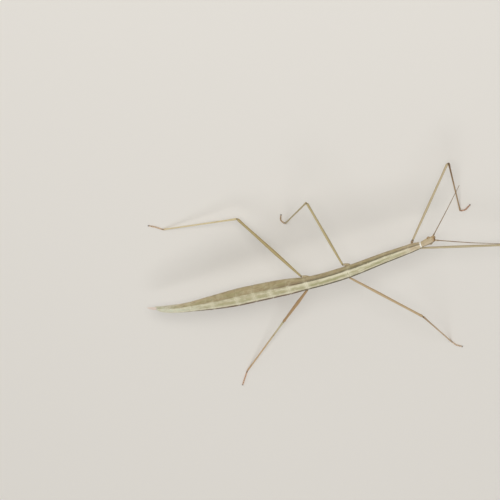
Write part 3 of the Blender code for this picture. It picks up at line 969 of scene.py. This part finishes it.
def growLeg(tube, name, leg, finish):
    pair = name.split("_")[0]
    path = legPath(leg)
    _, hip, knee, ankle, _, toe = path.marks
    limits = ((0.0, hip), (hip, knee), (knee, ankle), (ankle, toe))
    shapes = (legShape["coxa"], legShape["femur"][pair], legShape["tibia"])
    waists = [ankle + (toe - ankle) * share for share in legShape["tarsomeres"]]
    foot = legShape["foot"]

    def partOf(place):
        for part, (low, high) in enumerate(limits):
            if place <= high + 1e-6:
                return part, (place - low) / (high - low)
        return 3, 1.0

    def radiusAt(place):
        part, share = partOf(place)
        if part < 3:
            return straight(shapes[part], share)
        gap = min(((place - waist, waist) for waist in [ankle] + waists), key=lambda w: abs(w[0]))[0]
        dip = foot["waist"] if abs(gap) < 0.04 else foot["lip"] if -0.4 < gap < 0 else foot["plain"]
        tip = foot["tip"] if share > 0.985 else 1.0
        return legShape["tarsusRadius"] * dip * tip

    def cornerAt(place, angle):
        part, share = partOf(place)
        radius = radiusAt(place)
        if part in (1, 2):   # femur and tibia are four-sided, with soft ridges
            square = 1.0 + 0.07 * cos(4 * (angle - pi / 4))
            flat = min(1.0, 6 * share, 6 * (1 - share))
            radius *= 1.0 + (square - 1.0) * flat
        return radius * cos(angle), radius * sin(angle)

    def marksAt(place):
        part, share = partOf(place)
        near = min(abs(place - joint) for joint in (hip, knee, ankle))
        joint = hump(near, 0.0, 0.26)
        if part == 3:
            joint = max(joint, hump(min(abs(place - waist) for waist in waists), 0.0, 0.08))
        around = [(1.0 - sin(tau * i / tube.sides)) / 2 for i in range(tube.sides)]
        return {"along": part + share, "around": around, "left": 0.5, "joint": joint}

    extra = []
    for (low, high), stations in zip(limits, shapes):
        extra += [low + (high - low) * share for share, _ in stations]
    for waist in waists:
        extra += [waist - 0.42, waist - 0.16, waist, waist + 0.14]
    places = path.places(legShape["rowGap"], 0.16, extra)
    tube.begin(legShape["sides"], finish)
    sweepAlong(tube, path, places, (hip + knee) / 2, cornerAt, marksAt)
    tube.cap()


def makeInsectSkin():
    tube = Tube(("along", "around", "left", "joint", "membrane", "spot"))
    growTrunk(tube)
    finishes = [makeTrunkFinish(), makeHeadFinish()]
    nodes = ["head"] + [ring[0] for ring in body["rings"]]
    for name, leg in legs.items():
        growLeg(tube, name, leg, len(finishes))
        finishes.append(makeLegFinish(name))
        nodes += [part + name for part in ("coxa_", "femur_", "tibia_", "tarsus_")]
    finishPiece("insectSkin", tube.bm, finishes, nodes)


def addLump(bm, size, place, turn, sides=20):
    # a rounded lump, its size in mm along, across and up
    made = bmesh.ops.create_uvsphere(bm, u_segments=sides, v_segments=sides // 2 + 2, radius=mm)["verts"]
    bmesh.ops.scale(bm, vec=size, verts=made)
    bmesh.ops.rotate(bm, cent=(0, 0, 0), matrix=turn, verts=made)
    bmesh.ops.translate(bm, vec=origin + place * mm, verts=made)


eye = {
    "stretch": (1.12, 0.84, 0.97),   # length, width and height against the radius
    "sides": 28,
}


def makeEye(side, sideName, finish):
    forward = axisFrame(body["neck"] + head["length"] / 2)[1]
    left = Vector((0.0, 1.0, 0.0))
    turn = Matrix((forward, left, forward.cross(left))).transposed()
    size = Vector(eye["stretch"]) * head["eyeRadius"]
    bm = bmesh.new()
    addLump(bm, size, headPoint(head["eyePlace"], side), turn, eye["sides"])
    finishPiece("eye" + sideName, bm, [finish], ["eye_" + sideName.lower()])


def antennaPath(side, sideName):
    heading = antennaHeading(sideName.lower())
    level = Vector((heading.x, heading.y, 0.0)).normalized()
    root = headPoint(head["scapePlace"], side)
    joint = root + heading * antenna["scapeLength"]
    middle = joint + heading * antenna["length"] / 2
    tip = joint + level * antenna["length"] - Vector((0.0, 0.0, antenna["sag"]))
    return Path([root, middle, tip], [antenna["bend"]])


def makeAntenna(side, sideName, finish):
    path = antennaPath(side, sideName)
    scape = antenna["scapeLength"]
    pedicel = scape + antenna["pedicelLength"]
    rows = [(0.0, 0.80, 1.0), (0.35, 0.92, 0.2), (0.9, 1.0, 0.0), (scape - 0.35, 1.0, 0.0),
            (scape - 0.12, 0.94, 0.3), (scape - 0.03, 0.72, 1.0)]
    rows = [(place, antenna["scapeRadius"] * share, joint) for place, share, joint in rows]
    for share, size, joint in ((0.05, 0.74, 1.0), (0.3, 0.92, 0.2), (0.85, 0.92, 0.2),
                               (0.98, 0.70, 1.0)):
        rows.append((scape + antenna["pedicelLength"] * share, antenna["scapeRadius"] * size, joint))
    rest = path.length - pedicel
    count = antenna["joints"]
    for i in range(count):
        # the joints of the whip grow longer towards its end
        start = rest * (i / count) ** 1.18
        size = rest * ((i + 1) / count) ** 1.18 - start
        for share, swell, joint in ((0.04, 0.88, 1.0), (0.16, 0.96, 0.2), (0.78, 1.02, 0.0),
                                    (0.96, 1.0, 0.5)):
            place = start + size * share
            radius = straight(antenna["radii"], place / rest) * swell
            rows.append((pedicel + place, radius, joint))
    rows.append((path.length - 0.005, antenna["radii"][-1][1] * 0.5, 0.0))
    radii = {place: radius for place, radius, _ in rows}
    joints = {place: joint for place, _, joint in rows}
    tube = Tube(("along", "joint"))
    tube.begin(antenna["sides"])
    growRound(tube, path, sorted(radii), radii.get,
              lambda place: {"along": place / path.length, "joint": joints[place]},
              middle=path.length / 2)
    name = sideName.lower()
    finishPiece("antenna" + sideName, tube.bm, [finish], ["scape_" + name, "antenna_" + name])


mouth = {
    # each plate's size and place, in mm forward, out to the side and up
    "jaw": ((0.95, 0.42, 0.52), (0.45, 0.40, -0.02)),
    "labrum": ((0.62, 0.60, 0.40), (0.85, 0.0, 0.10)),
    "chin": ((0.90, 0.52, 0.30), (-0.10, 0.0, -0.22)),
    "droop": 0.35,       # how far the mouth points down for each mm forward
    "palpRadius": 0.17,
    "palpJoints": 4,
    "palps": ((0.46, 0.14, 1.15), (0.22, 0.02, 0.85)),   # place, outward lean and reach
}


def makeMouth():
    centre, forward, left, up = axisFrame(body["neck"] + head["mouthPlace"][0])
    centre = centre + up * head["mouthPlace"][2]
    droop = (forward - Vector((0.0, 0.0, mouth["droop"]))).normalized()
    over = droop.cross(left)
    turn = Matrix((droop, left, over)).transposed()
    tube = Tube(("joint",))

    def addPlate(name, side):
        size, (ahead, out, above) = mouth[name]
        addLump(tube.bm, size, centre + turn @ Vector((ahead, out * side, above)), turn)

    for side in (1, -1):
        # the outer palps hang down and forward, and the inner ones are shorter
        for out, lean, reach in mouth["palps"]:
            root = centre + droop * 0.15 + left * side * out - over * 0.26
            bend = root + droop * reach * 0.5 + left * side * lean - over * 0.24
            tip = bend + droop * reach * 0.45 - over * 0.02 - left * side * 0.05
            path = Path([root, bend, tip], [0.3])
            places, radii, joints = [], {}, {}
            count = mouth["palpJoints"]
            for i in range(count):
                for share, swell, joint in ((0.06, 0.72, 1.0), (0.3, 1.0, 0.0), (0.8, 1.0, 0.0),
                                            (0.96, 0.78, 0.8)):
                    place = path.length * (i + share) / count
                    places.append(place)
                    slim = (1.0 - 0.1 * i) * (0.9 if out < 0.3 else 1.0)
                    radii[place] = mouth["palpRadius"] * swell * slim
                    joints[place] = joint
            tube.begin(10)
            growRound(tube, path, places, radii.get, lambda place: {"joint": joints[place]})
        addPlate("jaw", side)
    addPlate("labrum", 0)
    addPlate("chin", 0)
    finishPiece("mouthPieces", tube.bm, [makeMouthFinish()], ["mouthparts"])


tail = {
    "operculum": ((-41.5, 0.52, 1.30), (-44.5, 0.92, 1.25), (-48.0, 0.82, 1.10), (-51.0, 0.60, 0.92),
                  (-53.0, 0.40, 0.80), (-54.2, 0.20, 0.76)),   # x, radius, drop below the axis
    "cercusLength": 4.80,
    "cercusRadius": 0.25,
    "cercusRoot": (0.35, 0.42, 0.02),   # forward of the tail's end, out to the side and up
    "cercusCloser": 0.20,               # how far its tip turns in
    "cercusRise": 0.06,
    "cercusShape": ((0.0, 0.7), (0.08, 0.80), (0.3, 1.0), (0.6, 0.80), (0.85, 0.45), (1.0, 0.14)),
    "plateSides": 16,
    "plateRows": 22,
}


def makeTail():
    finish = makeTailFinish()
    tube = Tube(("along",))
    sides = tail["plateSides"]
    tube.begin(sides)
    table = sorted(tail["operculum"])
    first, last = table[0][0], table[-1][0]
    count = tail["plateRows"]
    for i in range(count + 1):
        x = last + (first - last) * i / count
        radius = flowing(table, x, 1) * (0.97 if i else 0.5)
        centre, _, left, up = axisFrame(x)
        centre = centre - up * flowing(table, x, 2)
        points = []
        for k in range(sides):
            angle = tau * k / sides
            keel = 1.0 + 0.10 * hump(angle, 1.5 * pi, 0.3)
            points.append(centre + left * cos(angle) * radius + up * sin(angle) * radius * keel)
        tube.add(points, {"along": x})
    tube.cap()
    finishPiece("tailPlate", tube.bm, [finish], ["operculum"])
    for side, sideName in ((1, "Left"), (-1, "Right")):
        centre, forward, left, up = axisFrame(tailEnd - 0.02)
        sunk, out, above = tail["cercusRoot"]
        root = centre + left * side * out + up * above + forward * sunk
        end = root - forward * (tail["cercusLength"] + sunk) - left * side * tail["cercusCloser"]
        path = Path([root, (root + end) / 2 + up * tail["cercusRise"], end], [6.0])
        shape = tail["cercusShape"]
        places = path.places(0.25, 0.25)
        tube = Tube(("along",))
        tube.begin(12)
        growRound(tube, path, places,
                  lambda place: straight(shape, place / path.length) * tail["cercusRadius"],
                  lambda place: {"along": -56.0 - place}, flat=0.8)
        finishPiece("cercus" + sideName, tube.bm, [finish], ["cercus_" + sideName.lower()])


claw = {
    "length": 0.62,
    "radius": 0.085,
    "spread": 26.0,      # degrees of each claw from the line of the foot
    "root": (-0.35, 0.10, 0.03),     # forward of the toe, out to the side and up
    "arch": 0.10,        # how far its bend stands above its root
    "hook": (0.06, 0.12),            # how far its tip turns in and down
    "padSize": (0.24, 0.17, 0.10),
    "padPlace": (-0.02, 0.0, -0.09),
}


def makeClaws():
    tube = Tube(("joint",))
    for leg in legs.values():
        toe = Vector((*leg["toe"], legShape["tarsusAxis"]))
        pad = Vector((*leg["pad"], legShape["tarsusAxis"]))
        line = (toe - pad).normalized()
        across = Vector((-line.y, line.x, 0.0))
        up = Vector((0.0, 0.0, 1.0))
        turn = Matrix((line, across, up)).transposed()
        spread = radians(claw["spread"])
        back, out, above = claw["root"]
        inward, down = claw["hook"]
        for side in (1, -1):
            root = toe + turn @ Vector((back, out * side, above))
            way = line * cos(spread) + across * side * sin(spread)
            bend = root + way * claw["length"] * 0.62 + up * claw["arch"]
            end = root + way * claw["length"] - up * down - across * side * inward
            path = Path([root, bend, end], [0.16])
            places = path.places(0.09, 0.05)
            tube.begin(8)
            growRound(tube, path, places,
                      lambda place: claw["radius"] * (1.0 - 0.8 * place / path.length),
                      lambda place: {})
        addLump(tube.bm, claw["padSize"], toe + turn @ Vector(claw["padPlace"]), turn)
    finishPiece("claws", tube.bm, [makeClawFinish()], [])


stage = {
    "floorSize": 2.4,
    "floor": tint(226, 222, 215),
    "sky": (1.0, 0.99, 0.97, 1.0),
    "world": 0.34,
}


def makeFloor():
    f = Finish("paleFloor", 0.85)
    f.set("Base Color", stage["floor"])
    f.set("Specular IOR Level", 0.2)
    bm = bmesh.new()
    bmesh.ops.create_grid(bm, x_segments=2, y_segments=2, size=stage["floorSize"] / 2)
    addMesh("floor", bm, [f.material])


view = {
    "towardsHead": 26.7,     # degrees, how far the camera stands from the insect's left to its head
    "elevation": 52.7,
    "roll": -174.1,          # turns the picture with the animal
    "aim": (-6.5, 17.1, 15.0),       # mm in the insect's plan
    "width": 192.3,                  # mm across the picture at the aim
    "distance": 6.0,
}

lamps = {
    # place relative to the aim in m, size in m, strength in W
    "key": ((0.30, 0.62, 0.80), 0.45, 5.2),
    "overhead": ((-0.10, -0.45, 0.90), 0.8, 3.2),
    "fill": ((-0.45, 0.90, 0.35), 0.7, 1.4),
}


def addLamp(name, place, size, strength, target):
    light = bpy.data.lights.new(name, 'AREA')
    light.shape = 'DISK'
    light.size = size
    light.energy = strength
    lamp = addObject(name, light)
    away = Vector(place)
    lamp.matrix_world = (Matrix.Translation(target + away)
                         @ away.to_track_quat('Z', 'Y').to_matrix().to_4x4())


def makeCameraAndLights():
    target = origin + Vector(view["aim"]) * mm
    turned = radians(view["towardsHead"])
    raised = radians(view["elevation"])
    away = Vector((sin(turned) * cos(raised), cos(turned) * cos(raised), sin(raised)))
    lens = bpy.data.cameras.new("camera")
    lens.sensor_width = 36.0
    lens.lens = 36.0 * view["distance"] / (view["width"] * mm)
    lens.clip_start = 0.01
    camera = addObject("camera", lens)
    level = Vector((0.0, 0.0, 1.0)).cross(away).normalized()
    right = Matrix.Rotation(radians(view["roll"]), 3, away) @ level
    up = away.cross(right)
    turn = Matrix((right, up, away)).transposed().to_4x4()
    camera.matrix_world = Matrix.Translation(target + away * view["distance"]) @ turn
    bpy.context.scene.camera = camera
    for name, (place, size, strength) in lamps.items():
        addLamp(name, place, size, strength, target)
    world = bpy.data.worlds.new("studio")
    world.use_nodes = True
    sky = world.node_tree.nodes["Background"]
    sky.inputs["Color"].default_value = stage["sky"]
    sky.inputs["Strength"].default_value = stage["world"]
    bpy.context.scene.world = world
    bpy.context.scene.view_settings.view_transform = 'Standard'


makeInsectSkin()
print("skin grown")
eyeFinish = makeEyeFinish()
antennaFinish = makeAntennaFinish()
for side, sideName in ((1, "Left"), (-1, "Right")):
    makeEye(side, sideName, eyeFinish)
    makeAntenna(side, sideName, antennaFinish)
makeMouth()
print("head dressed")
makeTail()
makeClaws()
print("tail and feet dressed")
makeFloor()
makeCameraAndLights()
print("stage set")
